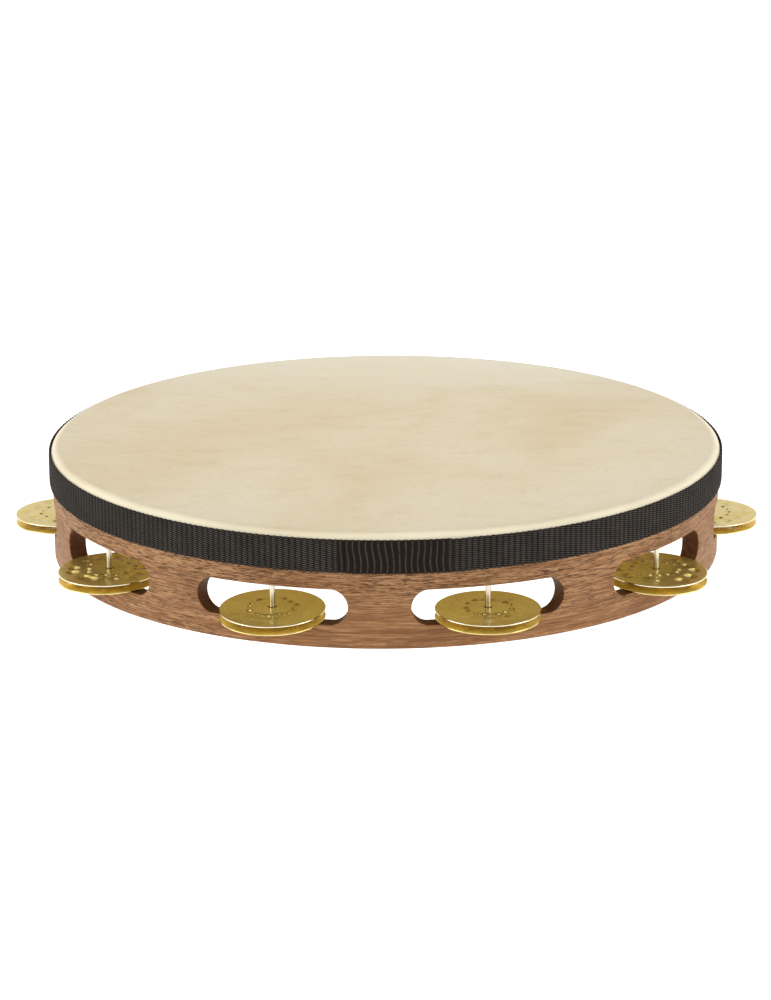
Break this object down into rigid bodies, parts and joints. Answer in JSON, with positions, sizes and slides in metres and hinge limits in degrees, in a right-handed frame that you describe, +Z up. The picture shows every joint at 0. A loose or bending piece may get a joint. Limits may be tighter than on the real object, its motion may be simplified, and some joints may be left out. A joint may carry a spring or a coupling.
{
  "type": "headed tambourine",
  "caption": "Round hand drum with a stretched skin head over a slotted wooden ring, and pairs of loose metal jingles that slide on nails in the slots.",
  "frame": {"origin": "centre of the wooden ring's lower edge, which is the centre of the object's bottom", "axes": "+Z up through the skin head, +X and +Y across the ring, with the hand-grip wall at the back, toward +Y and +X"},
  "size_m": [0.286, 0.2738, 0.0426],
  "materials": {
    "shell_wood": "satin varnish over a bent hardwood strip",
    "head_skin": "natural stretched skin, slightly glossy and mottled",
    "edge_webbing": "plain woven black tape",
    "jingle_brass": "bright, lightly hammered",
    "nail_steel": "bright drawn wire"
  },
  "bodies": {
    "shell": {"frame_shell": "shell_wood", "goatskin_head": "head_skin", "webbing_band": "edge_webbing", "jingle_pin_1": "nail_steel", "jingle_pin_2": "nail_steel", "jingle_pin_3": "nail_steel", "jingle_pin_4": "nail_steel", "jingle_pin_5": "nail_steel", "jingle_pin_6": "nail_steel", "jingle_pin_7": "nail_steel", "jingle_pin_8": "nail_steel", "jingle_pin_9": "nail_steel"},
    "jingle_1_lower_body": {"jingle_1_lower": "jingle_brass"},
    "jingle_1_upper_body": {"jingle_1_upper": "jingle_brass"},
    "jingle_2_lower_body": {"jingle_2_lower": "jingle_brass"},
    "jingle_2_upper_body": {"jingle_2_upper": "jingle_brass"},
    "jingle_3_lower_body": {"jingle_3_lower": "jingle_brass"},
    "jingle_3_upper_body": {"jingle_3_upper": "jingle_brass"},
    "jingle_4_lower_body": {"jingle_4_lower": "jingle_brass"},
    "jingle_4_upper_body": {"jingle_4_upper": "jingle_brass"},
    "jingle_5_lower_body": {"jingle_5_lower": "jingle_brass"},
    "jingle_5_upper_body": {"jingle_5_upper": "jingle_brass"},
    "jingle_6_lower_body": {"jingle_6_lower": "jingle_brass"},
    "jingle_6_upper_body": {"jingle_6_upper": "jingle_brass"},
    "jingle_7_lower_body": {"jingle_7_lower": "jingle_brass"},
    "jingle_7_upper_body": {"jingle_7_upper": "jingle_brass"},
    "jingle_8_lower_body": {"jingle_8_lower": "jingle_brass"},
    "jingle_8_upper_body": {"jingle_8_upper": "jingle_brass"},
    "jingle_9_lower_body": {"jingle_9_lower": "jingle_brass"},
    "jingle_9_upper_body": {"jingle_9_upper": "jingle_brass"}
  },
  "joints": [
    {"name": "jingle_1_lower_slide", "type": "slide", "parent": "shell", "child": "jingle_1_lower_body", "axis": [0, 0, 1], "range_m": [0, 0.0044]},
    {"name": "jingle_1_upper_slide", "type": "slide", "parent": "jingle_1_lower_body", "child": "jingle_1_upper_body", "axis": [0, 0, 1], "range_m": [0, 0.0044]},
    {"name": "jingle_2_lower_slide", "type": "slide", "parent": "shell", "child": "jingle_2_lower_body", "axis": [0, 0, 1], "range_m": [0, 0.0044]},
    {"name": "jingle_2_upper_slide", "type": "slide", "parent": "jingle_2_lower_body", "child": "jingle_2_upper_body", "axis": [0, 0, 1], "range_m": [0, 0.0044]},
    {"name": "jingle_3_lower_slide", "type": "slide", "parent": "shell", "child": "jingle_3_lower_body", "axis": [0, 0, 1], "range_m": [0, 0.0044]},
    {"name": "jingle_3_upper_slide", "type": "slide", "parent": "jingle_3_lower_body", "child": "jingle_3_upper_body", "axis": [0, 0, 1], "range_m": [0, 0.0044]},
    {"name": "jingle_4_lower_slide", "type": "slide", "parent": "shell", "child": "jingle_4_lower_body", "axis": [0, 0, 1], "range_m": [0, 0.0044]},
    {"name": "jingle_4_upper_slide", "type": "slide", "parent": "jingle_4_lower_body", "child": "jingle_4_upper_body", "axis": [0, 0, 1], "range_m": [0, 0.0044]},
    {"name": "jingle_5_lower_slide", "type": "slide", "parent": "shell", "child": "jingle_5_lower_body", "axis": [0, 0, 1], "range_m": [0, 0.0044]},
    {"name": "jingle_5_upper_slide", "type": "slide", "parent": "jingle_5_lower_body", "child": "jingle_5_upper_body", "axis": [0, 0, 1], "range_m": [0, 0.0044]},
    {"name": "jingle_6_lower_slide", "type": "slide", "parent": "shell", "child": "jingle_6_lower_body", "axis": [0, 0, 1], "range_m": [0, 0.0044]},
    {"name": "jingle_6_upper_slide", "type": "slide", "parent": "jingle_6_lower_body", "child": "jingle_6_upper_body", "axis": [0, 0, 1], "range_m": [0, 0.0044]},
    {"name": "jingle_7_lower_slide", "type": "slide", "parent": "shell", "child": "jingle_7_lower_body", "axis": [0, 0, 1], "range_m": [0, 0.0044]},
    {"name": "jingle_7_upper_slide", "type": "slide", "parent": "jingle_7_lower_body", "child": "jingle_7_upper_body", "axis": [0, 0, 1], "range_m": [0, 0.0044]},
    {"name": "jingle_8_lower_slide", "type": "slide", "parent": "shell", "child": "jingle_8_lower_body", "axis": [0, 0, 1], "range_m": [0, 0.0044]},
    {"name": "jingle_8_upper_slide", "type": "slide", "parent": "jingle_8_lower_body", "child": "jingle_8_upper_body", "axis": [0, 0, 1], "range_m": [0, 0.0044]},
    {"name": "jingle_9_lower_slide", "type": "slide", "parent": "shell", "child": "jingle_9_lower_body", "axis": [0, 0, 1], "range_m": [0, 0.0044]},
    {"name": "jingle_9_upper_slide", "type": "slide", "parent": "jingle_9_lower_body", "child": "jingle_9_upper_body", "axis": [0, 0, 1], "range_m": [0, 0.0044]}
  ]
}
